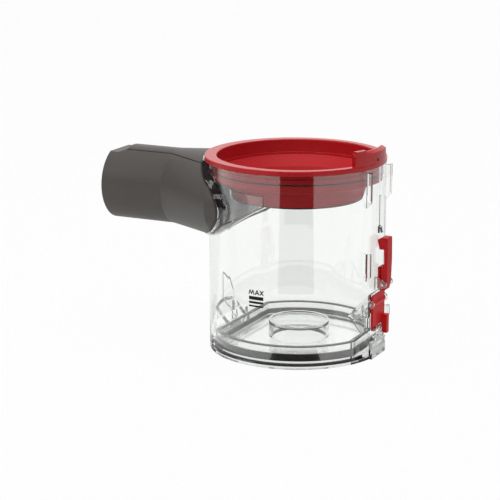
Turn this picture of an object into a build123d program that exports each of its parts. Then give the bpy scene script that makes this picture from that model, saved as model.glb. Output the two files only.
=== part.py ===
"""Cyclone dust bin of a stick vacuum cleaner, in millimetres.

The bin axis is +Z with z = 0 on the plane that the closed flap stands on.
The inlet points along -X, and the runner rails, lever and flap catch are on +X.
"""
from build123d import *
from math import cos, radians, sin, sqrt, tan
import os

os.makedirs("parts", exist_ok=True)

# clear bin
body_radius = 58.5
body_wall = 2.0
flap_rim = 2.0
body_bottom = flap_rim + 0.4
body_top = 127.0
inner_radius = body_radius - body_wall
far = 90.0  # reach of cutting solids, past every wall

# hinge ramp: a sloping wall across the inlet side of the bin floor, over the hinge
ramp_chord_x = 14.65 - inner_radius
ramp_foot_z = 9.2
ramp_slope = 1.09
ramp_wall = 2.0
hinge_window_half = 25.5
hinge_window_top = 12.9
fin_wall = 1.6
fin_top_z = 44.2
fin_shoulder_x = ramp_chord_x - 8.75
fin_shoulder_z = 37.6
fin_edge_x = ramp_chord_x - 4.25
fin_edge_z = 23.8
fin_foot_x = ramp_chord_x - 3.2

# flap hinge
hinge_x = 3.5 - inner_radius
hinge_z = 5.0
hinge_pin_radius = 1.5
hinge_running = 0.05
knuckle_radius = 3.4
knuckle_half = 10.6
hinge_lug_gap = 0.4
hinge_lug_wall = 4.0

# catch side: flat rear face, and the pocket that the catch swings into
rear_flat_x = inner_radius - 3.9
rear_flat_top = 15.0
rear_wall = 1.6
pocket_half = 12.0
pocket_wall = 1.6
pocket_foot_z = 16.2
pocket_nose_x = rear_flat_x - 11.0
pocket_nose_z = 28.4
pocket_slope = 1.10
grip_rib_pitch = 2.0
grip_rib_count = 6
grip_rib_middle_y = 9.5
grip_rib_depth = 0.6
grip_rib_low = 5.6
grip_rib_high = 11.2

# runner rails, L-shaped, up the rear wall on both sides of the lever
rail_inner_y = 15.0
rail_web = 2.0
rail_lip_y = 19.0
rail_lip = 1.6
rail_reach_x = body_radius + 0.8
near_rail_spans = ((20.0, 30.0), (53.5, 72.0), (102.6, 125.4))
far_rail_spans = (near_rail_spans[0], near_rail_spans[2])
rail_taper = 3.2
guide_rib_half = 0.8
guide_rib_x = body_radius + 1.1
guide_rib_low = 87.0
guide_rib_high = 108.0
guide_hook_half = 2.5
guide_hook_x = body_radius + 1.9
guide_hook_z = 83.4

# inlet tube and its flange on the bin
tube_z = 100.9
tube_radius = 25.7
socket_wall = 5.1
tube_bore = tube_radius - socket_wall
tube_length = 77.2
flare_length = 31.0
tube_mouth_x = -body_radius - tube_length
flare_start_x = -body_radius - flare_length
flare_end_x = 15.5 - body_radius
flare_half_width = body_radius - 6.3
flare_half_height = 29.3
flare_over = 1.8  # how far the flare rises past the top of the clear wall
flare_z = body_top + flare_over - flare_half_height
flare_wall = 2.6
flange_proud_low = 1.4
flange_proud_high = 5.4
gasket_thick = 0.6
gasket_proud = 0.3
flange_margin = 0.7
opening_margin = 5.0
notch_length = 6.8
notch_ramp = 5.0
notch_rise = 1.9
notch_skin = 1.5  # wall left over the bore
land_half = 9.7
land_spread = 25.6
land_end_x = 3.0 - body_radius
land_groove = 1.1
land_depth = 1.0

# inlet guide: a channel inside the wall that turns the air along the bin
skirt_setback = 13.0
skirt_clear = 3.1
skirt_radius = inner_radius - skirt_setback
guide_radius = skirt_radius + skirt_clear
guide_wall = 1.6
guide_floor = 1.2
guide_top = 110.4
guide_from = -60.0
guide_to = 87.0
guide_end = 2.5
guide_rise = 0.52
guide_axis_z = 105.5

# collar
rim_overhang = 3.3
rim_radius = body_radius + rim_overhang / 2
rim_offset_x = -rim_overhang / 2
rim_height = 3.2
rim_top = body_top + rim_height
seat_radius = inner_radius - 2.9
seat_depth = 5.5
seat_floor = body_top - seat_depth
seat_ledge = 1.3
spigot_clear = 0.3
seal_high = body_top - 5.8
seal_low = seal_high - 1.0
seal_groove = 1.4
band_high = body_top - 1.1
band_low = band_high - 1.6
band_depth = 0.4
cone_high = body_top - 11.0
cone_drop = 3.6
cone_proud = 4.0
neck_drop = 2.9
skirt_bottom = body_top - 23.5
skirt_wall = 1.9
block_from = -27.0  # angles about the bin axis, from +X
block_to = 12.0
block_shoulder = rim_top + 7.0
block_top = rim_top + 8.5
clip_top = rim_top + 9.8
block_inner = body_radius - 3.5
block_clear = 0.05
clip_from = -26.0
clip_to = -17.0
block_window = 2.0
block_window_angle = -4.0
wiper_reach = 4.0

# base flap
flap_radius = body_radius - 0.1
upstand_clear = 1.25
upstand_radius = inner_radius - upstand_clear
upstand_hinge_x = ramp_chord_x + upstand_clear
upstand_wall = 2.0
upstand_top = 14.2
flap_floor_z = 5.0
flap_floor = 2.0
cup_x = 1.5
cup_radius = 20.3
cup_wall = 1.8
cup_top = 17.9
cup_recess = 0.9
flap_seal_low = 5.2
flap_seal_high = 9.9
flap_seal_depth = 0.8
flap_seal_clear = 0.35
lip_thick = 0.8
lip_proud = 0.4
lug_x = rear_flat_x + 4.4
lug_wall = 2.3
lug_half = 11.5
lug_top = 11.0
striker_half = 5.0
striker_top = 20.8
lug_window_half = 3.6
lug_window_low = 13.6
lug_window_high = 19.2

# flap catch
catch_pivot_x = body_radius - 1.3
catch_pivot_z = 37.0
catch_pin_radius = 1.25
catch_boss = 2.6
catch_ear_boss = 3.2
catch_half = 10.0
catch_x = body_radius + 0.5
catch_plate = 2.4
catch_low = 21.5
catch_high = 43.0
foot_near_y = 5.8
foot_far_y = 9.6
foot_x = body_radius + 4.0
foot_low = 14.0
foot_high = 26.6
tongue_half = 2.9
tongue_x = rear_flat_x + 2.3
tongue_wall = 1.5
nose_x = lug_x + 1.0
nose_low = lug_window_high - 2.4
nose_high = lug_window_high - 0.4
spring_radius = 3.0
spring_wire = 0.45
spring_turns = 3.5
spring_seat_x = pocket_nose_x + 6.0
spring_seat_margin = 0.9
spring_clear = 1.3

# release lever
lever_half = 4.0
lever_pivot_x = body_radius + 4.9
lever_pivot_z = 49.8
lever_pin_radius = 1.0
lever_tip_x = body_radius + 0.35
lever_leg_x = body_radius + 0.9
lever_out_x = body_radius + 7.6
lever_top = lever_pivot_z + 30.9
lever_low = lever_pivot_z - 4.0
lever_leg_top = lever_pivot_z + 11.2
lever_hook_low = lever_top - 7.8
lever_belly = lever_leg_top + 5.0
lever_slot = 0.8
ear_clear = 0.5
ear_wall = 1.8
ear_boss = 2.6


def d_outline(radius, hinge_chord, rear_chord, height):
    """A circle with a straight edge on the hinge side and one on the catch side."""
    with BuildSketch(Plane.XY.offset(height)) as outline:
        Circle(radius)
        with Locations((hinge_chord - far / 2, 0), (rear_chord + far / 2, 0)):
            Rectangle(far, 2 * far, mode=Mode.SUBTRACT)
    return outline.sketch


def side_prism(points, low_y, high_y):
    """A prism between two Y values, from an outline drawn in X and Z."""
    with BuildPart() as prism:
        with BuildSketch(Plane.XZ.offset(-high_y)):
            with BuildLine():
                Polyline(*points, close=True)
            make_face()
        extrude(amount=high_y - low_y)
    return prism.part


def yz_plane(x, z):
    """A sketch plane across the inlet at x, with its own origin at height z."""
    return Plane(origin=(x, 0, z), x_dir=(0, 1, 0), z_dir=(1, 0, 0))


def inlet_oval(margin, from_x, to_x):
    """The inlet's oval run along X, larger than the flare by margin."""
    with BuildPart() as oval:
        with BuildSketch(yz_plane(from_x, flare_z)):
            Ellipse(flare_half_width + margin, flare_half_height + margin)
        extrude(amount=to_x - from_x)
    return oval.part


def horn(inset):
    """The inlet tube's outside from mouth to bin, drawn in by inset."""
    with BuildPart() as shape:
        with BuildSketch(yz_plane(tube_mouth_x, tube_z)):
            Circle(tube_radius - inset)
        extrude(amount=flare_start_x - tube_mouth_x)
        with BuildSketch(yz_plane(flare_start_x, tube_z)):
            Circle(tube_radius - inset)
        with BuildSketch(yz_plane(flare_end_x, flare_z)):
            Ellipse(flare_half_width - inset, flare_half_height - inset)
        loft()
        with BuildSketch(yz_plane(flare_end_x, flare_z)):
            Ellipse(flare_half_width - inset, flare_half_height - inset)
        extrude(amount=-flare_end_x)
    return shape.part


def flange_cone(offset, low, high):
    """The leaning round face that the inlet tube seats on, as a solid about the bin axis."""
    lean = (flange_proud_high - flange_proud_low) / (2 * flare_half_height)
    low_radius = body_radius + flange_proud_low + offset + lean * (low - flare_z + flare_half_height)
    high_radius = low_radius + lean * (high - low)
    with BuildPart() as cone:
        with BuildSketch(Plane.XZ):
            with BuildLine():
                Polyline((0, low), (low_radius, low), (high_radius, high), (0, high), close=True)
            make_face()
        revolve(axis=Axis.Z)
    return cone.part


def bin_shell(inner, outer, low, high):
    """A round sleeve about the bin axis."""
    with BuildPart() as sleeve:
        with BuildSketch(Plane.XY.offset(low)):
            Circle(outer)
            if inner > 0:
                Circle(inner, mode=Mode.SUBTRACT)
        extrude(amount=high - low)
    return sleeve.part


def ramp_z(x):
    """Height of the hinge ramp's upper face."""
    return ramp_foot_z + ramp_slope * (ramp_chord_x - x)


def ramp_outline(inset):
    """The space below the hinge ramp, drawn back from its upper face by inset."""
    drop = inset * sqrt(1 + ramp_slope**2)
    chord = ramp_chord_x - inset
    return [
        (-far, -1),
        (chord, -1),
        (chord, ramp_z(chord) - drop),
        (-far, ramp_z(-far) - drop),
    ]


def pocket_roof_z(x):
    """Height of the pocket's sloping roof on the dust side."""
    return pocket_nose_z + pocket_slope * (x - pocket_nose_x)


# Clear bin: one moulding with the ramp over the hinge, the catch pocket, rails and inlet flange.
rear_inner_x = rear_flat_x - rear_wall
upstand_rear_x = rear_inner_x - upstand_clear
rear_slant = rear_wall * tan(radians(22.5))
pocket_points = [
    (rear_inner_x, pocket_foot_z),
    (pocket_nose_x, pocket_nose_z),
    (far, pocket_roof_z(far)),
    (far, pocket_foot_z),
]
with BuildPart() as dust_space:
    with BuildSketch(Plane.XY.offset(body_bottom - 1)):
        Circle(inner_radius)
    extrude(amount=body_top - body_bottom + 2)
    add(side_prism(ramp_outline(0), -far, far), mode=Mode.SUBTRACT)
    rear_side = [
        (rear_inner_x, -1),
        (rear_inner_x, rear_flat_top + rear_slant),
        (far, rear_flat_top + rear_slant + far - rear_inner_x),
        (far, -1),
    ]
    add(side_prism(rear_side, -far, far), mode=Mode.SUBTRACT)
    add(side_prism(pocket_points, -pocket_half, pocket_half), mode=Mode.SUBTRACT)

with BuildPart() as hinge_space:
    with BuildSketch(Plane.XY):
        Circle(inner_radius)
    extrude(amount=body_top)
    add(side_prism(ramp_outline(ramp_wall), -far, far), mode=Mode.INTERSECT)

pocket_hollow_half = pocket_half - pocket_wall
with BuildPart() as pocket_hollow:
    with BuildSketch(Plane.XZ.offset(-pocket_hollow_half)):
        with BuildLine():
            Polyline(*pocket_points, close=True)
        make_face()
        offset(amount=-pocket_wall, kind=Kind.INTERSECTION)
    extrude(amount=2 * pocket_hollow_half)
    slot_points = [
        (rear_flat_x, flap_rim),
        (rear_flat_x, pocket_foot_z + 2 * pocket_wall),
        (far, pocket_foot_z + 2 * pocket_wall),
        (far, flap_rim),
    ]
    add(side_prism(slot_points, -pocket_hollow_half, pocket_hollow_half))

with BuildPart() as inlet_flange:
    add(horn(-flange_margin))
    add(flange_cone(0, body_bottom, body_top), mode=Mode.INTERSECT)
    add(bin_shell(0, inner_radius, 0, block_top), mode=Mode.SUBTRACT)

guide_reach = body_radius - body_wall / 2


def guide_z(x):
    """Height of the inlet guide's sloping floor."""
    return guide_axis_z + guide_rise * x


def guide_sector(inner, from_angle, to_angle, drop):
    """Part of a ring above the guide's floor, measured from -X round through -Y."""
    floor = [(-far, guide_z(-far) - drop), (-far, far * 4), (far, far * 4), (far, guide_z(far) - drop)]
    with BuildPart() as sector:
        with BuildSketch(Plane.XY):
            with BuildLine():
                CenterArc((0, 0), guide_reach, 180 + from_angle, to_angle - from_angle)
                CenterArc((0, 0), inner, 180 + from_angle, to_angle - from_angle)
                for angle in (180 + from_angle, 180 + to_angle):
                    turn = radians(angle)
                    start = (inner * cos(turn), inner * sin(turn))
                    Line(start, (guide_reach * cos(turn), guide_reach * sin(turn)))
            make_face()
        extrude(amount=guide_top)
        add(side_prism(floor, -far, far), mode=Mode.INTERSECT)
    return sector.part


with BuildPart() as inlet_guide:
    add(guide_sector(guide_radius, guide_from, guide_to, guide_floor))
    guide_channel = guide_sector(guide_radius + guide_wall, guide_from + guide_end, guide_to + guide_end, 0)
    add(guide_channel, mode=Mode.SUBTRACT)

rail_root_x = sqrt(body_radius**2 - (rail_inner_y + rail_web) ** 2) - body_wall / 2
rail_lip_x = rail_reach_x - rail_lip
hinge_lug_y = knuckle_half + hinge_lug_gap
ear_y = lever_half + ear_clear
with BuildPart() as bin_body:
    with BuildSketch(Plane.XY.offset(body_bottom)):
        Circle(body_radius)
    extrude(amount=body_top - body_bottom)
    add(inlet_flange.part)
    rear_cut = [
        (rear_flat_x, -1),
        (rear_flat_x, rear_flat_top),
        (far, rear_flat_top + far - rear_flat_x),
        (far, -1),
    ]
    add(side_prism(rear_cut, -far, far), mode=Mode.SUBTRACT)
    add(dust_space.part, mode=Mode.SUBTRACT)
    add(hinge_space.part, mode=Mode.SUBTRACT)
    add(pocket_hollow.part, mode=Mode.SUBTRACT)
    # window in the wall for the flap's edge to swing up through
    window_x = -sqrt(inner_radius**2 - hinge_window_half**2)
    with BuildSketch(Plane.XY):
        with Locations((window_x - far / 2, 0)):
            Rectangle(far, 2 * hinge_window_half)
    extrude(amount=hinge_window_top, mode=Mode.SUBTRACT)
    # inlet opening and the guide channel behind it
    add(inlet_oval(-opening_margin, -far, 0), mode=Mode.SUBTRACT)
    add(inlet_guide.part)
    # rib that stiffens the ramp against the wall
    fin_root_x = -body_radius + body_wall / 2
    with BuildSketch(Plane.XZ.offset(-fin_wall / 2)):
        with BuildLine():
            fin_foot = (fin_foot_x, ramp_z(fin_foot_x) - ramp_wall / 2)
            fin_head = (fin_root_x, fin_top_z)
            fin_shoulder = (fin_shoulder_x, fin_shoulder_z)
            fin_edge = (fin_edge_x, fin_edge_z)
            Spline(fin_head, fin_shoulder, fin_edge, fin_foot)
            Polyline(fin_foot, (fin_root_x, ramp_z(fin_root_x) - ramp_wall), fin_head)
        make_face()
    extrude(amount=fin_wall)
    # hinge lugs, hung from the ramp
    for low_y in (hinge_lug_y, -hinge_lug_y - hinge_lug_wall):
        lug_left = hinge_x - knuckle_radius
        lug_right = hinge_x + knuckle_radius
        lug_points = [
            (lug_left, hinge_z),
            (lug_right, hinge_z),
            (lug_right + knuckle_radius, ramp_z(lug_right + knuckle_radius) - ramp_wall),
            (lug_left, ramp_z(lug_left) - ramp_wall),
        ]
        add(side_prism(lug_points, low_y, low_y + hinge_lug_wall))
        with BuildSketch(Plane.XZ.offset(-low_y - hinge_lug_wall)):
            with Locations((hinge_x, hinge_z)):
                Circle(knuckle_radius)
        extrude(amount=hinge_lug_wall)
    # ears that carry the catch and the lever
    for low_y in (pocket_hollow_half, -pocket_half):
        with BuildSketch(Plane.XZ.offset(-low_y - pocket_wall)):
            with Locations((catch_pivot_x, catch_pivot_z)):
                Circle(catch_ear_boss)
        extrude(amount=pocket_wall)
    for low_y in (ear_y, -ear_y - ear_wall):
        ear_root_x = body_radius - body_wall / 2
        ear_points = [
            (ear_root_x, lever_pivot_z - 2 * ear_boss),
            (lever_pivot_x, lever_pivot_z - ear_boss),
            (lever_pivot_x, lever_pivot_z + ear_boss),
            (ear_root_x, lever_pivot_z + 2 * ear_boss),
        ]
        add(side_prism(ear_points, low_y, low_y + ear_wall))
        with BuildSketch(Plane.XZ.offset(-low_y - ear_wall)):
            with Locations((lever_pivot_x, lever_pivot_z)):
                Circle(ear_boss)
        extrude(amount=ear_wall)
    # runner rails
    for side, spans in ((-1, near_rail_spans), (1, far_rail_spans)):
        web = sorted((side * rail_inner_y, side * (rail_inner_y + rail_web)))
        lip = sorted((side * rail_inner_y, side * rail_lip_y))
        for low, high in spans:
            web_points = [
                (rail_root_x, low - rail_taper / 2),
                (rail_reach_x, low + rail_taper),
                (rail_reach_x, high),
                (rail_root_x, high),
            ]
            lip_points = [
                (rail_lip_x, low + rail_taper),
                (rail_reach_x, low + rail_taper),
                (rail_reach_x, high),
                (rail_lip_x, high),
            ]
            add(side_prism(web_points, *web))
            add(side_prism(lip_points, *lip))
    # guide rib and hook above the lever
    guide_root_x = body_radius - body_wall / 2
    rib_points = [
        (guide_root_x, guide_rib_low),
        (guide_rib_x, guide_rib_low),
        (guide_rib_x, guide_rib_high),
        (guide_root_x, guide_rib_high),
    ]
    add(side_prism(rib_points, -guide_rib_half, guide_rib_half))
    hook_points = [
        (guide_root_x, guide_hook_z),
        (guide_hook_x, guide_hook_z),
        (guide_rib_x, guide_rib_low),
        (guide_root_x, guide_rib_low + body_wall),
    ]
    add(side_prism(hook_points, -guide_hook_half, guide_hook_half))
    # seat for the catch's spring, in the nose of the pocket
    spring_seat_radius = spring_radius + spring_wire + spring_seat_margin
    seat_from_x = pocket_nose_x + spring_seat_radius / pocket_slope + 0.1
    with BuildSketch(yz_plane(seat_from_x, pocket_nose_z)):
        Circle(spring_seat_radius)
    extrude(amount=spring_seat_x - seat_from_x)
    # grip ribs on the rear flat, both sides of the tongue
    rib_height = grip_rib_high - grip_rib_low
    with BuildSketch(yz_plane(rear_flat_x - grip_rib_depth / 2, grip_rib_low + rib_height / 2)):
        with Locations((-grip_rib_middle_y, 0), (grip_rib_middle_y, 0)):
            with GridLocations(grip_rib_pitch, 1, grip_rib_count, 1):
                Rectangle(grip_rib_pitch / 2, rib_height)
    extrude(amount=grip_rib_depth)
    # pin holes
    for x, z, radius, half in (
        (hinge_x, hinge_z, hinge_pin_radius, hinge_lug_y + hinge_lug_wall),
        (catch_pivot_x, catch_pivot_z, catch_pin_radius, pocket_half),
        (lever_pivot_x, lever_pivot_z, lever_pin_radius, ear_y + ear_wall),
    ):
        with BuildSketch(Plane.XZ.offset(-half)):
            with Locations((x, z)):
                Circle(radius)
        extrude(amount=2 * half, mode=Mode.SUBTRACT)
bin_body.part.label = "bin_body"
export_step(bin_body.part, "parts/bin_body.step")


# Inlet tube: a round wand socket that flares into a wide oval mouth on the bin wall.
with BuildPart() as inlet_tube:
    add(horn(0))
    add(horn(flare_wall), mode=Mode.SUBTRACT)
    with BuildSketch(yz_plane(tube_mouth_x, tube_z)):
        Circle(tube_radius - flare_wall / 2)
        Circle(tube_bore, mode=Mode.SUBTRACT)
    extrude(amount=flare_start_x - tube_mouth_x)
    add(flange_cone(gasket_thick, 0, block_top), mode=Mode.SUBTRACT)
    # seat for the collar's rim
    with BuildSketch(Plane.XY.offset(body_top - spigot_clear)):
        with Locations((rim_offset_x, 0)):
            Circle(rim_radius + spigot_clear)
    extrude(amount=far, mode=Mode.SUBTRACT)
    # flat at the top of the mouth for the wand's latch
    notch_end_x = tube_mouth_x + notch_length
    notch_z = tube_z + tube_bore + notch_skin
    notch_points = [
        (tube_mouth_x - 1, notch_z),
        (notch_end_x, notch_z),
        (notch_end_x + notch_ramp, notch_z + notch_rise),
        (notch_end_x + notch_ramp, tube_z + tube_radius + 1),
        (tube_mouth_x - 1, tube_z + tube_radius + 1),
    ]
    add(side_prism(notch_points, -tube_radius, tube_radius), mode=Mode.SUBTRACT)
# grooves that edge the raised land along the top
with BuildPart() as land_grooves:
    for side in (-1, 1):
        land_line = [
            (notch_end_x + notch_ramp / 2, side * land_half),
            (flare_start_x, side * land_half),
            (land_end_x, side * land_spread),
        ]
        with BuildSketch(Plane.XY.offset(tube_z)):
            with BuildLine():
                Polyline(*[(x, y - land_groove / 2) for x, y in land_line])
                Polyline(*[(x, y + land_groove / 2) for x, y in land_line])
                for x, y in (land_line[0], land_line[-1]):
                    Line((x, y - land_groove / 2), (x, y + land_groove / 2))
            make_face()
        extrude(amount=far)
    add(horn(land_depth), mode=Mode.SUBTRACT)
with BuildPart() as finished_tube:
    add(inlet_tube.part)
    add(land_grooves.part, mode=Mode.SUBTRACT)
    mouth_edges = edges().filter_by(GeomType.CIRCLE).sort_by(Axis.X)[0:2]
    chamfer(mouth_edges, length=0.6)
finished_tube.part.label = "inlet_tube"
export_step(finished_tube.part, "parts/inlet_tube.step")

# Inlet gasket: the black line between the grey tube and the clear flange.
with BuildPart() as inlet_gasket:
    add(horn(-gasket_proud))
    add(flange_cone(gasket_thick, 0, body_top - spigot_clear), mode=Mode.INTERSECT)
    add(flange_cone(0, 0, block_top), mode=Mode.SUBTRACT)
    add(inlet_oval(-opening_margin, -far, 0), mode=Mode.SUBTRACT)
inlet_gasket.part.label = "inlet_gasket"
export_step(inlet_gasket.part, "parts/inlet_gasket.step")

def turned_sector(points, from_angle, to_angle):
    """A profile in radius and height, turned about the bin axis between two angles."""
    turn = radians(from_angle)
    start = Plane(origin=(0, 0, 0), x_dir=(cos(turn), sin(turn), 0), z_dir=(sin(turn), -cos(turn), 0))
    with BuildPart() as sector:
        with BuildSketch(start):
            with BuildLine():
                Polyline(*points, close=True)
            make_face()
        revolve(axis=Axis.Z, revolution_arc=to_angle - from_angle)
    return sector.part


# Collar: red seat for the cyclone, with a funnel skirt inside the bin and a raised block at the rear.
spigot_radius = inner_radius - spigot_clear
groove_radius = spigot_radius - seal_groove
ledge_radius = seat_radius - seat_ledge
cone_low = cone_high - cone_drop
cone_radius = skirt_radius + cone_proud
skirt_high = cone_low - neck_drop
skirt_high_radius = skirt_radius + 1.8
block_outer = body_radius - block_clear
with BuildPart() as collar:
    with BuildSketch(Plane.XZ):
        with BuildLine():
            Polyline(
                (seat_radius, rim_top),
                (seat_radius, seat_floor),
                (ledge_radius, seat_floor),
                (ledge_radius, seat_floor - 1.5),
                (cone_radius - 2.3, cone_low + 0.6),
                (skirt_high_radius - skirt_wall, skirt_high),
                (skirt_radius - skirt_wall, skirt_bottom),
                (skirt_radius, skirt_bottom),
                (skirt_high_radius, skirt_high),
                (cone_radius, cone_low),
                (spigot_radius - 0.4, cone_high),
                (spigot_radius - 0.4, seal_low),
                (groove_radius, seal_low),
                (groove_radius, seal_high),
                (spigot_radius, seal_high),
                (spigot_radius, band_low),
                (spigot_radius - band_depth, band_low),
                (spigot_radius - band_depth, band_high),
                (spigot_radius, band_high),
                (spigot_radius, body_top),
                (spigot_radius, rim_top),
                close=True,
            )
        make_face()
    revolve(axis=Axis.Z)
    with BuildSketch(Plane.XY.offset(body_top)):
        with Locations((rim_offset_x, 0)):
            Circle(rim_radius)
        Circle(seat_radius, mode=Mode.SUBTRACT)
    extrude(amount=rim_top - body_top)
    rim_edges = edges().filter_by(GeomType.CIRCLE)
    rim_edges = rim_edges.filter_by_position(Axis.Z, rim_top - 0.01, rim_top + 0.01)
    fillet(rim_edges, radius=0.7)
    # raised block with a sloping shoulder, and a clip that stands up at its near end
    block_points = [
        (block_inner, rim_top - 1),
        (block_outer, rim_top - 1),
        (block_outer, block_shoulder),
        (block_inner + 1, block_top),
        (block_inner, block_top),
    ]
    clip_points = [
        (block_inner, rim_top - 1),
        (block_outer, rim_top - 1),
        (block_outer, clip_top),
        (block_inner, clip_top),
    ]
    add(turned_sector(block_points, block_from, block_to))
    add(turned_sector(clip_points, clip_from, clip_to))
    turn = radians(block_window_angle)
    window_facing = (cos(turn), sin(turn), 0)
    window_plane = Plane(
        origin=(0, 0, rim_top + block_window), x_dir=(-sin(turn), cos(turn), 0), z_dir=window_facing
    )
    with BuildSketch(window_plane):
        Rectangle(block_window, block_window)
    extrude(amount=far, mode=Mode.SUBTRACT)
collar.part.label = "collar"
export_step(collar.part, "parts/collar.step")

# Collar seal: a rubber ring in the groove of the collar's spigot.
collar_seal_radius = inner_radius - 0.05
with BuildPart() as collar_seal:
    with BuildSketch(Plane.XZ):
        with BuildLine():
            Polyline(
                (groove_radius, seal_low),
                (groove_radius, seal_high),
                (collar_seal_radius - 0.4, seal_high),
                (collar_seal_radius, (seal_high + seal_low) / 2),
                (collar_seal_radius - 0.4, seal_low),
                close=True,
            )
        make_face()
    revolve(axis=Axis.Z)
collar_seal.part.label = "collar_seal"
export_step(collar_seal.part, "parts/collar_seal.step")

# Shroud wiper: a rubber lip below the collar that scrapes the cyclone's shroud.
wiper_outer = skirt_radius - skirt_wall
wiper_height = 3.0
wiper_wall = 1.2
wiper_lip = 0.9
skirt_lean = (skirt_high_radius - skirt_radius) / (skirt_high - skirt_bottom)
wiper_top_radius = wiper_outer + wiper_height * skirt_lean
with BuildPart() as shroud_wiper:
    with BuildSketch(Plane.XZ):
        with BuildLine():
            Polyline(
                (wiper_outer, skirt_bottom),
                (skirt_radius - 0.3, skirt_bottom),
                (skirt_radius - 0.3, skirt_bottom - wiper_lip),
                (wiper_outer - wiper_reach, skirt_bottom - wiper_lip),
                (wiper_outer - wiper_reach, skirt_bottom),
                (wiper_outer - wiper_wall, skirt_bottom + wiper_wall),
                (wiper_top_radius - wiper_wall, skirt_bottom + wiper_height),
                (wiper_top_radius, skirt_bottom + wiper_height),
                close=True,
            )
        make_face()
    revolve(axis=Axis.Z)
shroud_wiper.part.label = "shroud_wiper"
export_step(shroud_wiper.part, "parts/shroud_wiper.step")

# Base flap: clear disc with a D-shaped upstand, a central cup, hinge knuckle and striker lug.
with BuildPart() as base_flap:
    with BuildSketch(Plane.XY):
        Circle(flap_radius)
    extrude(amount=flap_rim)
    extrude(d_outline(upstand_radius, upstand_hinge_x, upstand_rear_x, 0), amount=upstand_top)
    well_radius = upstand_radius - upstand_wall
    well_hinge_x = upstand_hinge_x + upstand_wall
    well_rear_x = upstand_rear_x - upstand_wall
    well_z = flap_floor_z + flap_floor
    well_above = d_outline(well_radius, well_hinge_x, well_rear_x, well_z)
    well_below = d_outline(well_radius, well_hinge_x, well_rear_x, 0)
    extrude(well_above, amount=upstand_top, mode=Mode.SUBTRACT)
    extrude(well_below, amount=flap_floor_z, mode=Mode.SUBTRACT)
    with BuildSketch(Plane.XY.offset(flap_floor_z)):
        with Locations((cup_x, 0)):
            Circle(cup_radius)
    extrude(amount=cup_top - flap_floor_z)
    with BuildSketch(Plane.XY):
        with Locations((cup_x, 0)):
            Circle(cup_radius - cup_wall)
    extrude(amount=cup_top - cup_recess - cup_wall, mode=Mode.SUBTRACT)
    with BuildSketch(Plane.XY.offset(cup_top)):
        with Locations((cup_x, 0)):
            Circle(cup_radius - cup_wall)
    extrude(amount=-cup_recess, mode=Mode.SUBTRACT)
    # groove for the seal
    seal_height = flap_seal_high - flap_seal_low
    seal_root = upstand_radius - flap_seal_depth
    seal_root_hinge_x = upstand_hinge_x + flap_seal_depth
    seal_root_rear_x = upstand_rear_x - flap_seal_depth
    with BuildSketch(Plane.XY.offset(flap_seal_low)):
        Circle(flap_radius)
        add(d_outline(seal_root, seal_root_hinge_x, seal_root_rear_x, 0), mode=Mode.SUBTRACT)
    extrude(amount=seal_height, mode=Mode.SUBTRACT)
    # slots in the rim for the bin's hinge lugs
    slot_far_y = hinge_lug_y + hinge_lug_wall + hinge_lug_gap
    slot_middle_x = hinge_x + knuckle_radius + hinge_lug_gap - far / 2
    slot_middle_y = (knuckle_half + slot_far_y) / 2
    with BuildSketch(Plane.XY):
        for side in (-1, 1):
            with Locations((slot_middle_x, side * slot_middle_y)):
                Rectangle(far, slot_far_y - knuckle_half)
    extrude(amount=flap_rim, mode=Mode.SUBTRACT)
    # knuckle
    with BuildSketch(Plane.XZ.offset(-knuckle_half)):
        with Locations((hinge_x, hinge_z)):
            Circle(knuckle_radius)
        with Locations((hinge_x, hinge_z / 2)):
            Rectangle(2 * knuckle_radius, hinge_z)
    extrude(amount=2 * knuckle_half)
    with BuildSketch(Plane.XZ.offset(-knuckle_half)):
        with Locations((hinge_x, hinge_z)):
            Circle(hinge_pin_radius + hinge_running)
    extrude(amount=2 * knuckle_half, mode=Mode.SUBTRACT)
    # striker lug
    with BuildSketch(yz_plane(lug_x, 0)):
        with Locations((0, lug_top / 2)):
            Rectangle(2 * lug_half, lug_top)
        with Locations((0, striker_top / 2)):
            Rectangle(2 * striker_half, striker_top)
        with Locations((0, (lug_window_low + lug_window_high) / 2)):
            Rectangle(2 * lug_window_half, lug_window_high - lug_window_low, mode=Mode.SUBTRACT)
    extrude(amount=lug_wall)
base_flap.part.label = "base_flap"
export_step(base_flap.part, "parts/base_flap.step")

# Flap seal: the black rubber band in the groove round the upstand.
seal_chord_hinge = ramp_chord_x + flap_seal_clear
seal_chord_rear = rear_inner_x - flap_seal_clear
with BuildPart() as flap_seal:
    seal_outer = d_outline(inner_radius - flap_seal_clear, seal_chord_hinge, seal_chord_rear, flap_seal_low)
    extrude(seal_outer, amount=seal_height)
    seal_inner = d_outline(seal_root, seal_root_hinge_x, seal_root_rear_x, flap_seal_low)
    extrude(seal_inner, amount=seal_height, mode=Mode.SUBTRACT)
flap_seal.part.label = "flap_seal"
export_step(flap_seal.part, "parts/flap_seal.step")

# Flap lip: a thin black edge moulded on top of the upstand.
with BuildPart() as flap_lip:
    lip_outer = d_outline(
        upstand_radius + lip_proud, upstand_hinge_x - lip_proud, upstand_rear_x + lip_proud / 2, upstand_top
    )
    extrude(lip_outer, amount=lip_thick)
    lip_inner = d_outline(well_radius, well_hinge_x, well_rear_x, upstand_top)
    extrude(lip_inner, amount=lip_thick, mode=Mode.SUBTRACT)
flap_lip.part.label = "flap_lip"
export_step(flap_lip.part, "parts/flap_lip.step")

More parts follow.
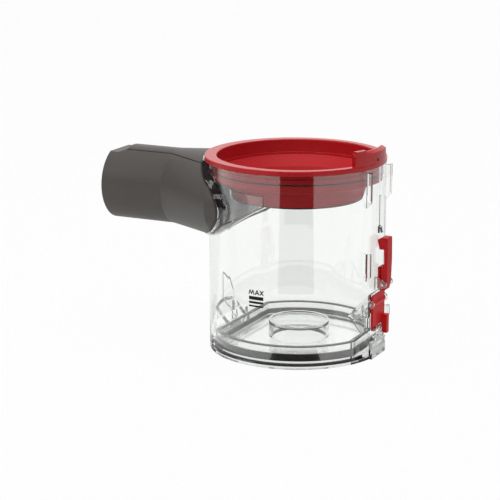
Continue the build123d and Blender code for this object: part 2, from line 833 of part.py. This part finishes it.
# Flap catch: red plate that hangs from its pin, with a press foot and a tongue that hooks the lug.
catch_inner_x = catch_x - catch_plate
with BuildPart() as flap_catch:
    plate_points = [
        (catch_inner_x, catch_low),
        (catch_x, catch_low),
        (catch_x, catch_high),
        (catch_x - catch_plate / 3, catch_high),
        (catch_inner_x, catch_high - catch_plate),
    ]
    add(side_prism(plate_points, -catch_half, catch_half))
    with BuildSketch(Plane.XZ.offset(-catch_half)):
        with Locations((catch_pivot_x, catch_pivot_z)):
            Circle(catch_boss)
    extrude(amount=2 * catch_half)
    foot_points = [
        (catch_inner_x, catch_low),
        (catch_x, foot_low + 1),
        (catch_x + 1, foot_low),
        (foot_x, foot_low),
        (foot_x, foot_high),
        (catch_inner_x, foot_high),
    ]
    add(side_prism(foot_points, foot_near_y, foot_far_y))
    tongue_points = [
        (tongue_x, nose_low),
        (tongue_x + tongue_wall, nose_low),
        (nose_x, nose_high - 1.2),
        (nose_x, nose_high),
        (tongue_x + tongue_wall, nose_high),
        (tongue_x + tongue_wall, catch_low),
        (catch_x, catch_low + 1),
        (catch_x, catch_low + 3),
        (catch_inner_x, catch_low + 3),
        (tongue_x, catch_low + 1),
    ]
    add(side_prism(tongue_points, -tongue_half, tongue_half))
    with BuildSketch(Plane.XZ.offset(-catch_half)):
        with Locations((catch_pivot_x, catch_pivot_z)):
            Circle(catch_pin_radius + hinge_running)
    extrude(amount=2 * catch_half, mode=Mode.SUBTRACT)
flap_catch.part.label = "flap_catch"
export_step(flap_catch.part, "parts/flap_catch.step")

# Release lever: red handset-shaped lever with a hook head, and a sprung leg at its foot.
with BuildPart() as release_lever:
    lever_points = [
        (lever_tip_x, lever_top - 1.5),
        (lever_tip_x + 2.5, lever_top),
        (lever_out_x - 0.2, lever_top),
        (lever_out_x, lever_belly),
        (lever_out_x - 0.5, lever_pivot_z),
        (lever_out_x - 1.6, lever_low),
        (lever_leg_x + 1.4, lever_low + 0.6),
        (lever_leg_x, lever_low + 1.4),
        (lever_leg_x, lever_leg_top),
        (lever_out_x - 3.0, lever_leg_top + 0.4),
        (lever_out_x - 2.4, lever_leg_top + 3.0),
        (lever_out_x - 2.6, lever_hook_low + 0.1),
        (lever_leg_x + 1.0, lever_hook_low),
    ]
    add(side_prism(lever_points, -lever_half, lever_half))
    slot_x = lever_leg_x + 1.4
    slot_outline = [
        (slot_x, lever_pivot_z - 1.2),
        (slot_x + lever_slot, lever_pivot_z - 1.2),
        (slot_x + lever_slot, lever_leg_top + 1),
        (slot_x, lever_leg_top + 1),
    ]
    add(side_prism(slot_outline, -lever_half, lever_half), mode=Mode.SUBTRACT)
    side_edges = edges().filter_by(Axis.Y).filter_by_position(Axis.X, lever_out_x - 0.6, lever_out_x + 0.1)
    fillet(side_edges, radius=0.8)
    with BuildSketch(Plane.XZ.offset(-lever_half)):
        with Locations((lever_pivot_x, lever_pivot_z)):
            Circle(lever_pin_radius + hinge_running)
    extrude(amount=2 * lever_half, mode=Mode.SUBTRACT)
release_lever.part.label = "release_lever"
export_step(release_lever.part, "parts/release_lever.step")

# Pins for the three hinges, pressed into the clear lugs and ears.
for pin_name, x, z, radius, half in (
    ("hinge_pin", hinge_x, hinge_z, hinge_pin_radius, hinge_lug_y + hinge_lug_wall),
    ("catch_pin", catch_pivot_x, catch_pivot_z, catch_pin_radius, pocket_half),
    ("lever_pin", lever_pivot_x, lever_pivot_z, lever_pin_radius, ear_y + ear_wall),
):
    with BuildPart() as pin:
        with BuildSketch(Plane.XZ.offset(-half)):
            with Locations((x, z)):
                Circle(radius)
        extrude(amount=2 * half)
    pin.part.label = pin_name
    export_step(pin.part, f"parts/{pin_name}.step")

# Catch spring: steel coil in the pocket that pushes the catch out.
spring_length = catch_inner_x - spring_clear - spring_seat_x - 2 * spring_wire
with BuildPart() as catch_spring:
    spring_start = (spring_seat_x + spring_wire, 0, pocket_nose_z)
    with BuildLine() as coil:
        Helix(
            pitch=spring_length / spring_turns,
            height=spring_length,
            radius=spring_radius,
            center=spring_start,
            direction=(1, 0, 0),
        )
    with BuildSketch(Plane(origin=coil.line @ 0, z_dir=coil.line % 0)):
        RegularPolygon(spring_wire, 8)
    sweep(path=coil.line, is_frenet=True)
catch_spring.part.label = "catch_spring"
export_step(catch_spring.part, "parts/catch_spring.step")
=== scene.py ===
from math import cos, radians, sin

import bmesh
import bpy
from mathutils import Matrix, Vector


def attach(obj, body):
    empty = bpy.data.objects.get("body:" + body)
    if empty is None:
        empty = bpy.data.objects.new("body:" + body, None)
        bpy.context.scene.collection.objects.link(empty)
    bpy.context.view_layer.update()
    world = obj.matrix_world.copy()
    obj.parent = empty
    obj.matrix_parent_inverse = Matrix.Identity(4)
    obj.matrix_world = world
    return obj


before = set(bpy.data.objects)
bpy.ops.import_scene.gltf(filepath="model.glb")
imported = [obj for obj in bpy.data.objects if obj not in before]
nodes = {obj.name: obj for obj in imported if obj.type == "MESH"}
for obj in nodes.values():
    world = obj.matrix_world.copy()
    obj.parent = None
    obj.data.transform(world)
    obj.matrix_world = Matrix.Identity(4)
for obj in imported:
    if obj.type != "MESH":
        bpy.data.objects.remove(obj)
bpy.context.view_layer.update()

scene = bpy.context.scene
scene.view_settings.view_transform = "Standard"


# Clear bin: one injection moulding of see-through SAN plastic with a polished tool finish.
# The rails, the hinge ramp with its fin, the catch pocket and the air guide are moulded in one with it.
def linear(code):
    """Linear colour with alpha from an sRGB hex value."""
    values = [int(code[i : i + 2], 16) / 255 for i in (0, 2, 4)]
    return (*[v / 12.92 if v <= 0.04045 else ((v + 0.055) / 1.055) ** 2.4 for v in values], 1.0)


def add_node(tree, kind, links=None, **settings):
    """Adds a node; links gives its inputs sockets or values, settings its own properties."""
    new = tree.nodes.new(kind)
    for name, value in settings.items():
        setattr(new, name, value)
    for name, value in (links or {}).items():
        if isinstance(value, bpy.types.NodeSocket):
            tree.links.new(value, new.inputs[name])
        else:
            new.inputs[name].default_value = value
    return new


def clear_plastic(name, tint, wave_mm, density):
    """Polished clear styrene-acrylonitrile: sharp see-through walls, with faint flow waves and haze."""
    material = bpy.data.materials.new(name)
    material.use_nodes = True
    tree = material.node_tree
    tree.nodes.clear()
    place = add_node(tree, "ShaderNodeTexCoord").outputs["Object"]
    # flow of the melt along the wall, a few centimetres long
    flow = add_node(
        tree, "ShaderNodeTexNoise", {"Vector": place, "Scale": 1000 / wave_mm, "Detail": 2.0}
    )
    bump = add_node(
        tree, "ShaderNodeBump", {"Height": flow.outputs["Fac"], "Strength": 0.04, "Distance": 0.0005}
    )
    # handling haze: patches of about 12 mm where the polish is a little duller
    haze = add_node(tree, "ShaderNodeTexNoise", {"Vector": place, "Scale": 1000 / 12, "Detail": 4.0})
    dull = add_node(
        tree,
        "ShaderNodeMapRange",
        {
            "Value": haze.outputs["Fac"],
            "From Min": 0.45,
            "From Max": 0.8,
            "To Min": 0.0,
            "To Max": 0.035,
        },
    )
    glass = add_node(
        tree,
        "ShaderNodeBsdfPrincipled",
        {
            "Base Color": linear(tint),
            "Roughness": dull.outputs["Result"],
            "IOR": 1.56,
            "Transmission Weight": 1.0,
            "Normal": bump.outputs["Normal"],
        },
    )
    # lamps shine through the wall, so what stands inside it isn't in the dark
    path = add_node(tree, "ShaderNodeLightPath")
    lit = add_node(
        tree,
        "ShaderNodeMath",
        {0: path.outputs["Is Shadow Ray"], 1: path.outputs["Is Diffuse Ray"]},
        operation="MAXIMUM",
    )
    through = add_node(tree, "ShaderNodeBsdfTransparent", {"Color": linear("F4F5F4")})
    mix = add_node(
        tree,
        "ShaderNodeMixShader",
        {0: lit.outputs["Value"], 1: glass.outputs["BSDF"], 2: through.outputs["BSDF"]},
    )
    # the melt is faintly grey, which shows where the eye looks along a wall
    grey = add_node(tree, "ShaderNodeVolumeAbsorption", {"Color": linear("DCDEDC"), "Density": density})
    add_node(
        tree,
        "ShaderNodeOutputMaterial",
        {"Surface": mix.outputs["Shader"], "Volume": grey.outputs["Volume"]},
    )
    return material


nodes["bin_body"].data.materials[0] = clear_plastic(
    "clear_san_wall", "FBFCFB", wave_mm=35, density=20.0
)


# Fill mark: black ink printed on the outside of the bin wall, the word above three bars.
# The bars get thinner downwards, and the print follows the round wall.
wall_radius = 0.0585
ink_proud = 0.00008
mark_middle = radians(-92.3)
mark_width = 0.0104


def round_the_wall(mesh_data):
    """Bends a flat print, x along the wall and y up, round the bin."""
    bent = bmesh.new()
    bent.from_mesh(mesh_data)
    bmesh.ops.triangulate(bent, faces=bent.faces)
    for corner in bent.verts:
        angle = mark_middle + corner.co.x / wall_radius
        reach = wall_radius + ink_proud
        corner.co = Vector((reach * cos(angle), reach * sin(angle), corner.co.y))
    bent.to_mesh(mesh_data)
    bent.free()


ink = bpy.data.materials.new("black_pad_print_ink")
ink.use_nodes = True
tree = ink.node_tree
ink_shader = tree.nodes["Principled BSDF"]
place = add_node(tree, "ShaderNodeTexCoord").outputs["Object"]
# ink film: the density drifts a little over each millimetre
film = add_node(tree, "ShaderNodeTexNoise", {"Vector": place, "Scale": 1000 / 1.0, "Detail": 3.0})
shade = add_node(
    tree,
    "ShaderNodeMix",
    {0: film.outputs["Fac"], "A": linear("050505"), "B": linear("0E0E0E")},
    data_type="RGBA",
)
tree.links.new(shade.outputs["Result"], ink_shader.inputs["Base Color"])
ink_shader.inputs["Roughness"].default_value = 0.5
ink_shader.inputs["Specular IOR Level"].default_value = 0.2

# the word's strokes in a bold plain hand, M, A and X, each from a point to a point in letter heights
strokes = (
    ((0.0, 0.0), (0.22, 1.0)),
    ((0.22, 1.0), (0.52, 0.12)),
    ((0.52, 0.12), (0.82, 1.0)),
    ((0.82, 1.0), (1.04, 0.0)),
    ((1.28, 0.0), (1.66, 1.0)),
    ((1.66, 1.0), (2.04, 0.0)),
    ((1.42, 0.32), (1.9, 0.32)),
    ((2.22, 0.0), (2.9, 1.0)),
    ((2.22, 1.0), (2.9, 0.0)),
)
word_wide = 2.9
word_low = 0.0482
word_high = 0.0031
stroke_half = 0.00036
bar_heights = ((0.0448, 0.0471), (0.0423, 0.0438), (0.0401, 0.0412))
print_mesh = bpy.data.meshes.new("fill_mark")
mark = bmesh.new()
for start, end in strokes:
    low_end, high_end = [
        Vector(((x / word_wide - 0.5) * mark_width, word_low + y * word_high, 0))
        for x, y in (start, end)
    ]
    along = (high_end - low_end).normalized()
    across = Vector((-along.y, along.x, 0)) * stroke_half
    outline = (low_end + across, low_end - across, high_end - across, high_end + across)
    mark.faces.new([mark.verts.new(point) for point in outline])
for low, high in bar_heights:
    bar = bmesh.ops.create_grid(mark, x_segments=12, y_segments=1, size=0.5)["verts"]
    bmesh.ops.scale(mark, vec=(mark_width, high - low, 1), verts=bar)
    bmesh.ops.translate(mark, vec=(0, (low + high) / 2, 0), verts=bar)
mark.to_mesh(print_mesh)
mark.free()
round_the_wall(print_mesh)
print_mesh.materials.append(ink)
fill_mark = bpy.data.objects.new("fill_mark", print_mesh)
scene.collection.objects.link(fill_mark)
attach(fill_mark, "bin")


# Inlet tube: grey ABS with a fine spark-eroded grain, which takes the shine off it.
# It is one moulding from the round socket to the oval horn, and seats on the bin's clear flange
# with a gasket between.
def moulded_plastic(name, dark, light, rough, grain_mm, grain_depth, shine):
    """Injection-moulded ABS: even colour with a slow drift, and a fine even grain from the tool."""
    material = bpy.data.materials.new(name)
    material.use_nodes = True
    tree = material.node_tree
    shader = tree.nodes["Principled BSDF"]
    place = add_node(tree, "ShaderNodeTexCoord").outputs["Object"]
    # colour drift of the melt, over about 30 mm
    drift = add_node(tree, "ShaderNodeTexNoise", {"Vector": place, "Scale": 1000 / 30, "Detail": 3.0})
    colour = add_node(
        tree,
        "ShaderNodeMix",
        {0: drift.outputs["Fac"], "A": linear(dark), "B": linear(light)},
        data_type="RGBA",
    )
    # grain of the tool, drawn coarser than real so that it shows
    grain = add_node(
        tree, "ShaderNodeTexNoise", {"Vector": place, "Scale": 1000 / grain_mm, "Detail": 2.0}
    )
    unevenness = 0.06
    polish = add_node(
        tree,
        "ShaderNodeMapRange",
        {"Value": grain.outputs["Fac"], "To Min": rough - unevenness, "To Max": rough + unevenness},
    )
    # moulded corners are never quite sharp, so they catch a line of light
    corner = add_node(tree, "ShaderNodeBevel", {"Radius": 0.0005}, samples=8)
    bump = add_node(
        tree,
        "ShaderNodeBump",
        {
            "Height": grain.outputs["Fac"],
            "Strength": 0.25,
            "Distance": grain_depth,
            "Normal": corner.outputs["Normal"],
        },
    )
    tree.links.new(colour.outputs["Result"], shader.inputs["Base Color"])
    tree.links.new(polish.outputs["Result"], shader.inputs["Roughness"])
    tree.links.new(bump.outputs["Normal"], shader.inputs["Normal"])
    shader.inputs["IOR"].default_value = 1.53
    shader.inputs["Specular IOR Level"].default_value = shine
    return material


nodes["inlet_tube"].data.materials[0] = moulded_plastic(
    "grained_grey_abs", "504C48", "575350", rough=0.42, grain_mm=0.6, grain_depth=0.00004, shine=0.22
)


# Rubber pieces: the inlet gasket, the collar seal, the shroud wiper and the flap's band.
# They are moulded EPDM, black and dull, with a talc bloom in the pores; only the band is polished.
rubber = bpy.data.materials.new("black_epdm_rubber")
rubber.use_nodes = True
tree = rubber.node_tree
rubber_shader = tree.nodes["Principled BSDF"]
place = add_node(tree, "ShaderNodeTexCoord").outputs["Object"]
# bloom in pores of about 1.5 mm, drawn coarser than real so that it shows
pores = add_node(tree, "ShaderNodeTexNoise", {"Vector": place, "Scale": 1000 / 1.5, "Detail": 4.0})
bloom = add_node(
    tree,
    "ShaderNodeMix",
    {0: pores.outputs["Fac"], "A": linear("0A0A0A"), "B": linear("181817")},
    data_type="RGBA",
)
skin = add_node(
    tree, "ShaderNodeBump", {"Height": pores.outputs["Fac"], "Strength": 0.2, "Distance": 0.00005}
)
tree.links.new(bloom.outputs["Result"], rubber_shader.inputs["Base Color"])
tree.links.new(skin.outputs["Normal"], rubber_shader.inputs["Normal"])
rubber_shader.inputs["Roughness"].default_value = 0.45
rubber_shader.inputs["IOR"].default_value = 1.5
for name in ("inlet_gasket", "collar_seal", "shroud_wiper"):
    nodes[name].data.materials[0] = rubber
# the flap's band comes from a polished mould, so it shines like a wet tyre
band_rubber = rubber.copy()
band_rubber.name = "polished_black_epdm"
band_shader = band_rubber.node_tree.nodes["Principled BSDF"]
band_shader.inputs["Roughness"].default_value = 0.3
band_shader.inputs["Specular IOR Level"].default_value = 1.0
nodes["flap_seal"].data.materials[0] = band_rubber


# Collar: red ABS ring with a funnel skirt, pressed into the top of the bin, seat of the cyclone pack.
# Its tool was polished on the rim and left satin in the funnel.
satin_below = 0.1195
polished_above = 0.1210
collar_abs = moulded_plastic(
    "red_abs_collar", "B4191F", "BE1C22", rough=0.26, grain_mm=0.7, grain_depth=0.00002, shine=0.2
)
tree = collar_abs.node_tree
collar_shader = tree.nodes["Principled BSDF"]
place = add_node(tree, "ShaderNodeTexCoord").outputs["Object"]
# the roughness falls from satin to polished over 1.5 mm of height
height = add_node(tree, "ShaderNodeSeparateXYZ", {"Vector": place}).outputs["Z"]
satin = add_node(
    tree,
    "ShaderNodeMapRange",
    {
        "Value": height,
        "From Min": satin_below,
        "From Max": polished_above,
        "To Min": 0.62,
        "To Max": 0.0,
    },
)
finish = add_node(
    tree,
    "ShaderNodeMath",
    {0: collar_shader.inputs["Roughness"].links[0].from_socket, 1: satin.outputs["Result"]},
    operation="MAXIMUM",
)
tree.links.new(finish.outputs[0], collar_shader.inputs["Roughness"])
nodes["collar"].data.materials[0] = collar_abs


# Release lever and flap catch: red ABS levers that turn on steel pins at the back of the bin.
# Their tools were left satin, so they shine less than the collar.
nodes["release_lever"].data.materials[0] = moulded_plastic(
    "red_abs_lever", "C81F22", "D22326", rough=0.36, grain_mm=0.7, grain_depth=0.00002, shine=0.06
)
nodes["flap_catch"].data.materials[0] = moulded_plastic(
    "red_abs_catch", "D82427", "E2282B", rough=0.36, grain_mm=0.7, grain_depth=0.00002, shine=0.06
)


# Pins and spring: drawn stainless steel wire, bright with fine lines along the draw.
# The pins carry the flap, the catch and the lever, and the coil spring sits in the pocket
# behind the catch.
steel = bpy.data.materials.new("drawn_stainless_wire")
steel.use_nodes = True
tree = steel.node_tree
steel_shader = tree.nodes["Principled BSDF"]
place = add_node(tree, "ShaderNodeTexCoord").outputs["Object"]
# draw lines about 0.2 mm apart, coarser than real, stretched along the pins
lie = add_node(tree, "ShaderNodeMapping", {"Vector": place, "Scale": (1.0, 0.05, 1.0)})
lines = add_node(tree, "ShaderNodeTexNoise", {"Vector": lie.outputs["Vector"], "Scale": 1000 / 0.2})
satin = add_node(
    tree, "ShaderNodeMapRange", {"Value": lines.outputs["Fac"], "To Min": 0.22, "To Max": 0.42}
)
tree.links.new(satin.outputs["Result"], steel_shader.inputs["Roughness"])
steel_shader.inputs["Base Color"].default_value = linear("B9B8B5")
steel_shader.inputs["Metallic"].default_value = 1.0
for name in ("lever_pin", "catch_pin", "hinge_pin", "catch_spring"):
    nodes[name].data.materials[0] = steel


# Base flap: clear SAN lid under the bin, with its upstand, cup, knuckle and striker lug.
# It is the same kind of plastic as the bin, a little greyer, which shows at its rim.
nodes["base_flap"].data.materials[0] = clear_plastic(
    "clear_san_flap", "F8F9F8", wave_mm=25, density=70.0
)


# Flap lip: soft black TPE moulded round the top of the flap's upstand, where it wipes the bin wall.
# It is smoother than the rubber, so its level top takes some sheen where the eye meets it flat.
lip = bpy.data.materials.new("smooth_black_tpe")
lip.use_nodes = True
tree = lip.node_tree
lip_shader = tree.nodes["Principled BSDF"]
place = add_node(tree, "ShaderNodeTexCoord").outputs["Object"]
# wear of the wiping edge: patches of about 4 mm where the sheen is a little duller
wear = add_node(tree, "ShaderNodeTexNoise", {"Vector": place, "Scale": 1000 / 4, "Detail": 3.0})
gloss = add_node(
    tree, "ShaderNodeMapRange", {"Value": wear.outputs["Fac"], "To Min": 0.2, "To Max": 0.34}
)
worn = add_node(
    tree,
    "ShaderNodeMix",
    {0: wear.outputs["Fac"], "A": linear("0D0D0D"), "B": linear("1B1B1A")},
    data_type="RGBA",
)
tree.links.new(gloss.outputs["Result"], lip_shader.inputs["Roughness"])
tree.links.new(worn.outputs["Result"], lip_shader.inputs["Base Color"])
lip_shader.inputs["IOR"].default_value = 1.5
nodes["flap_lip"].data.materials[0] = lip


# Seam shade ring: a black strip in the gap between the flap's rim and the foot of the bin, drawn in the
# black rubber as painted shade for the dark seam line. A thin foot at its lower edge closes the seam; it
# stops short of the hinge and of the catch.
ring_mesh = bpy.data.meshes.new("seam_shade_ring")
ring = bmesh.new()
inside, body, edge = 0.05535, 0.0564, 0.0582
under, foot, over = 0.00205, 0.00235, 0.0036
section = [(inside, under), (edge, under), (edge, foot), (body, foot), (body, over), (inside, over)]
ring_arcs = ((-150, -16), (25, 150))
for first, last in ring_arcs:
    turn = radians(first)
    corners = [ring.verts.new((reach * cos(turn), reach * sin(turn), high)) for reach, high in section]
    loop = [ring.edges.new(pair) for pair in zip(corners, corners[1:] + corners[:1])]
    bmesh.ops.spin(
        ring,
        geom=[*corners, *loop],
        cent=(0, 0, 0),
        axis=(0, 0, 1),
        angle=radians(last - first),
        steps=72,
        use_merge=False,
    )
bmesh.ops.holes_fill(ring, edges=[e for e in ring.edges if e.is_boundary], sides=len(section))
bmesh.ops.recalc_face_normals(ring, faces=ring.faces)
ring.to_mesh(ring_mesh)
ring.free()
ring_mesh.materials.append(rubber)
seam_shade_ring = bpy.data.objects.new("seam_shade_ring", ring_mesh)
scene.collection.objects.link(seam_shade_ring)
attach(seam_shade_ring, "flap")


# Floor: a plain pale studio table that the bin stands on, over a white sweep.
# It keeps a soft contact shadow, and is clear enough to the eye to show the flap where it hangs below.
table_height = -0.0003
sweep_height = -0.25
clear_to_eye = 0.97
white_in_glass = 0.93
white_in_gloss = 0.6


def level_sheet(name, height, finish):
    """A wide flat sheet under the bin."""
    half_side = 6.0
    sheet_mesh = bpy.data.meshes.new(name)
    sheet = bmesh.new()
    bmesh.ops.create_grid(sheet, x_segments=1, y_segments=1, size=half_side)
    bmesh.ops.translate(sheet, vec=(0, 0, height), verts=sheet.verts)
    sheet.to_mesh(sheet_mesh)
    sheet.free()
    sheet_mesh.materials.append(finish)
    sheet_object = bpy.data.objects.new(name, sheet_mesh)
    scene.collection.objects.link(sheet_object)
    return sheet_object


pale = bpy.data.materials.new("pale_sweep")
pale.use_nodes = True
tree = pale.node_tree
tree.nodes.clear()
matt = add_node(tree, "ShaderNodeBsdfDiffuse", {"Color": linear("C9C9C8")})
white = add_node(tree, "ShaderNodeEmission", {"Color": (1, 1, 1, 1), "Strength": 1.0})
path = add_node(tree, "ShaderNodeLightPath")
by_eye = add_node(
    tree,
    "ShaderNodeMath",
    {0: path.outputs["Is Camera Ray"], 1: clear_to_eye},
    operation="MULTIPLY",
)
by_glass = add_node(
    tree,
    "ShaderNodeMath",
    {0: path.outputs["Is Transmission Ray"], 1: white_in_glass},
    operation="MULTIPLY",
)
by_gloss = add_node(
    tree,
    "ShaderNodeMath",
    {0: path.outputs["Is Glossy Ray"], 1: white_in_gloss},
    operation="MULTIPLY",
)
clear = add_node(
    tree,
    "ShaderNodeMath",
    {0: by_glass.outputs["Value"], 1: by_gloss.outputs["Value"]},
    operation="MAXIMUM",
)
lit = add_node(
    tree,
    "ShaderNodeMixShader",
    {0: clear.outputs["Value"], 1: matt.outputs["BSDF"], 2: white.outputs["Emission"]},
)
see_through = add_node(tree, "ShaderNodeBsdfTransparent", {"Color": (1, 1, 1, 1)})
blend = add_node(
    tree,
    "ShaderNodeMixShader",
    {0: by_eye.outputs["Value"], 1: lit.outputs["Shader"], 2: see_through.outputs["BSDF"]},
)
add_node(tree, "ShaderNodeOutputMaterial", {"Surface": blend.outputs["Shader"]})
floor = level_sheet("floor", table_height, pale)

# white sweep below the table, deep enough for the open flap to hang free
sweep_white = bpy.data.materials.new("white_sweep")
sweep_white.use_nodes = True
tree = sweep_white.node_tree
tree.nodes.clear()
white = add_node(tree, "ShaderNodeEmission", {"Color": (1, 1, 1, 1), "Strength": 1.0})
add_node(tree, "ShaderNodeOutputMaterial", {"Surface": white.outputs["Emission"]})
sweep = level_sheet("white_sweep", sweep_height, sweep_white)


# Reflector cards: bright cards lie on the table left and right of the camera's line, with black cards
# and a short bright one between, and a dim grey ring close round the bin's foot paints the contact shade
# there.
# Only reflections show these, as the pale haze on the wall, the clear band down its middle and the
# painted shade at the foot.
camera_side = radians(-65.57)
card_height = -0.0001
foot_edge = 0.0593
ring_edge = 0.074
near_edge = 0.1
middle_edge = 0.24
far_edge = 1.5
band_left = -22
band_right = 19.3
left_end = -112
right_end = 106
ring_end = 150
bright = 1.25
grey = 0.4
black = 0.0


def hide_card(card_object):
    """Hides a card from the camera and from matt surfaces, and keeps it from casting a shadow."""
    card_object.visible_camera = False
    card_object.visible_diffuse = False
    card_object.visible_shadow = False


def floor_card(name, start, end, inner, outer, strength):
    """A flat card round the bin, between two angles from the camera's line."""
    card_mesh = bpy.data.meshes.new(name)
    card = bmesh.new()
    turn = camera_side + radians(start)
    edge = [
        card.verts.new((reach * cos(turn), reach * sin(turn), card_height)) for reach in (inner, outer)
    ]
    side = card.edges.new(edge)
    bmesh.ops.spin(
        card,
        geom=[*edge, side],
        cent=(0, 0, 0),
        axis=(0, 0, 1),
        angle=radians(end - start),
        steps=48,
        use_merge=False,
    )
    card.to_mesh(card_mesh)
    card.free()
    glow = bpy.data.materials.new(name)
    glow.use_nodes = True
    tree = glow.node_tree
    tree.nodes.clear()
    shine = add_node(tree, "ShaderNodeEmission", {"Color": (1, 1, 1, 1), "Strength": strength})
    clear = add_node(tree, "ShaderNodeBsdfTransparent", {"Color": (1, 1, 1, 1)})
    # a ray that has only passed through clear walls goes through the card, one that was reflected sees it
    path = add_node(tree, "ShaderNodeLightPath")
    bounced = add_node(
        tree,
        "ShaderNodeMath",
        {0: path.outputs["Ray Depth"], 1: path.outputs["Transmission Depth"]},
        operation="SUBTRACT",
        use_clamp=True,
    )
    card_face = add_node(
        tree,
        "ShaderNodeMixShader",
        {0: bounced.outputs[0], 1: clear.outputs["BSDF"], 2: shine.outputs["Emission"]},
    )
    add_node(tree, "ShaderNodeOutputMaterial", {"Surface": card_face.outputs["Shader"]})
    card_mesh.materials.append(glow)
    card_object = bpy.data.objects.new(name, card_mesh)
    scene.collection.objects.link(card_object)
    hide_card(card_object)


floor_card("card_left", left_end, band_left, ring_edge, far_edge, bright)
floor_card("card_right", band_right, right_end, ring_edge, far_edge, bright)
floor_card("card_middle", band_left, band_right, near_edge, middle_edge, bright)
floor_card("card_black_far", band_left, band_right, middle_edge, far_edge, black)
floor_card("card_black_near", band_left, band_right, ring_edge, near_edge, black)
# painted shade: the dim grey ring stands in for the contact shadow round the bin's foot, as reflections
# show it
floor_card("card_painted_foot_shade", -ring_end, ring_end, foot_edge, ring_edge, grey)

# back card: an upright white sheet behind the bin, which gives the level rims their pale sheen
back_half_wide = 1.4
back_half_high = 0.6
back_away = 1.4
back_middle = 0.62
quarter_turn = radians(90)
upright = Matrix.Rotation(quarter_turn, 3, "X")
facing = Matrix.Rotation(camera_side + quarter_turn, 3, "Z")
back_mesh = bpy.data.meshes.new("card_back")
back = bmesh.new()
bmesh.ops.create_grid(back, x_segments=1, y_segments=1, size=1.0)
bmesh.ops.scale(back, vec=(back_half_wide, back_half_high, 1), verts=back.verts)
bmesh.ops.rotate(back, cent=(0, 0, 0), matrix=upright, verts=back.verts)
bmesh.ops.translate(back, vec=(0, back_away, back_middle), verts=back.verts)
bmesh.ops.rotate(back, cent=(0, 0, 0), matrix=facing, verts=back.verts)
back.to_mesh(back_mesh)
back.free()
sheet_glow = bpy.data.materials.new("card_back")
sheet_glow.use_nodes = True
tree = sheet_glow.node_tree
tree.nodes.clear()
shine = add_node(tree, "ShaderNodeEmission", {"Color": (1, 1, 1, 1), "Strength": 1.2})
add_node(tree, "ShaderNodeOutputMaterial", {"Surface": shine.outputs["Emission"]})
back_mesh.materials.append(sheet_glow)
back_card = bpy.data.objects.new("card_back", back_mesh)
scene.collection.objects.link(back_card)
hide_card(back_card)


# Studio light: a wide softbox overhead and a weaker one from the left, with a plain grey room as fill.
# The room is darker to the glass than to the matt parts, which draws the moulded edges.
def softbox(name, place, look_at, wide, power):
    """A square soft lamp that faces a point."""
    lamp = bpy.data.lights.new(name, "AREA")
    lamp.shape = "SQUARE"
    lamp.size = wide
    lamp.energy = power
    lamp_object = bpy.data.objects.new(name, lamp)
    lamp_object.location = place
    lamp_object.rotation_euler = (Vector(look_at) - Vector(place)).to_track_quat("-Z", "Y").to_euler()
    scene.collection.objects.link(lamp_object)


softbox("softbox_top", place=(0.0, -0.15, 1.3), look_at=(0, 0, 0.05), wide=1.1, power=11.5)
softbox("softbox_left", place=(-1.0, -0.9, 0.8), look_at=(-0.03, 0, 0.08), wide=0.8, power=3.4)

room = bpy.data.worlds.new("room")
scene.world = room
room.use_nodes = True
tree = room.node_tree
tree.nodes.clear()
path = add_node(tree, "ShaderNodeLightPath")
fill = add_node(tree, "ShaderNodeBackground", {"Color": linear("FFFFFF"), "Strength": 0.44})
dim = add_node(tree, "ShaderNodeBackground", {"Color": linear("FFFFFF"), "Strength": 0.12})
eye = add_node(tree, "ShaderNodeBackground", {"Color": linear("FFFFFF"), "Strength": 1.0})
glassy = add_node(
    tree,
    "ShaderNodeMath",
    {0: path.outputs["Is Glossy Ray"], 1: path.outputs["Is Transmission Ray"]},
    operation="MAXIMUM",
)
by_glass = add_node(
    tree,
    "ShaderNodeMixShader",
    {0: glassy.outputs["Value"], 1: fill.outputs["Background"], 2: dim.outputs["Background"]},
)
by_eye = add_node(
    tree,
    "ShaderNodeMixShader",
    {0: path.outputs["Is Camera Ray"], 1: by_glass.outputs["Shader"], 2: eye.outputs["Background"]},
)
add_node(tree, "ShaderNodeOutputWorld", {"Surface": by_eye.outputs["Shader"]})
# clear walls stand one behind the other, so light passes many faces on its way
scene.cycles.max_bounces = 32
scene.cycles.transmission_bounces = 28
scene.cycles.glossy_bounces = 8
scene.cycles.transparent_max_bounces = 32


# Camera: on the near side of the bin and a little towards the catch, looking down by 14 degrees.
# A long lens keeps the upright walls nearly parallel.
camera_pitch = radians(14.03)
camera_pan = radians(1.57)
lens = bpy.data.cameras.new("camera")
lens.sensor_width = 36.0
lens.lens = 128.06
lens.clip_end = 20
camera = bpy.data.objects.new("camera", lens)
camera.location = (0.4759, -1.0478, 0.3525)
camera.rotation_euler = (quarter_turn - camera_pitch, 0, camera_side + quarter_turn + camera_pan)
scene.collection.objects.link(camera)
scene.camera = camera
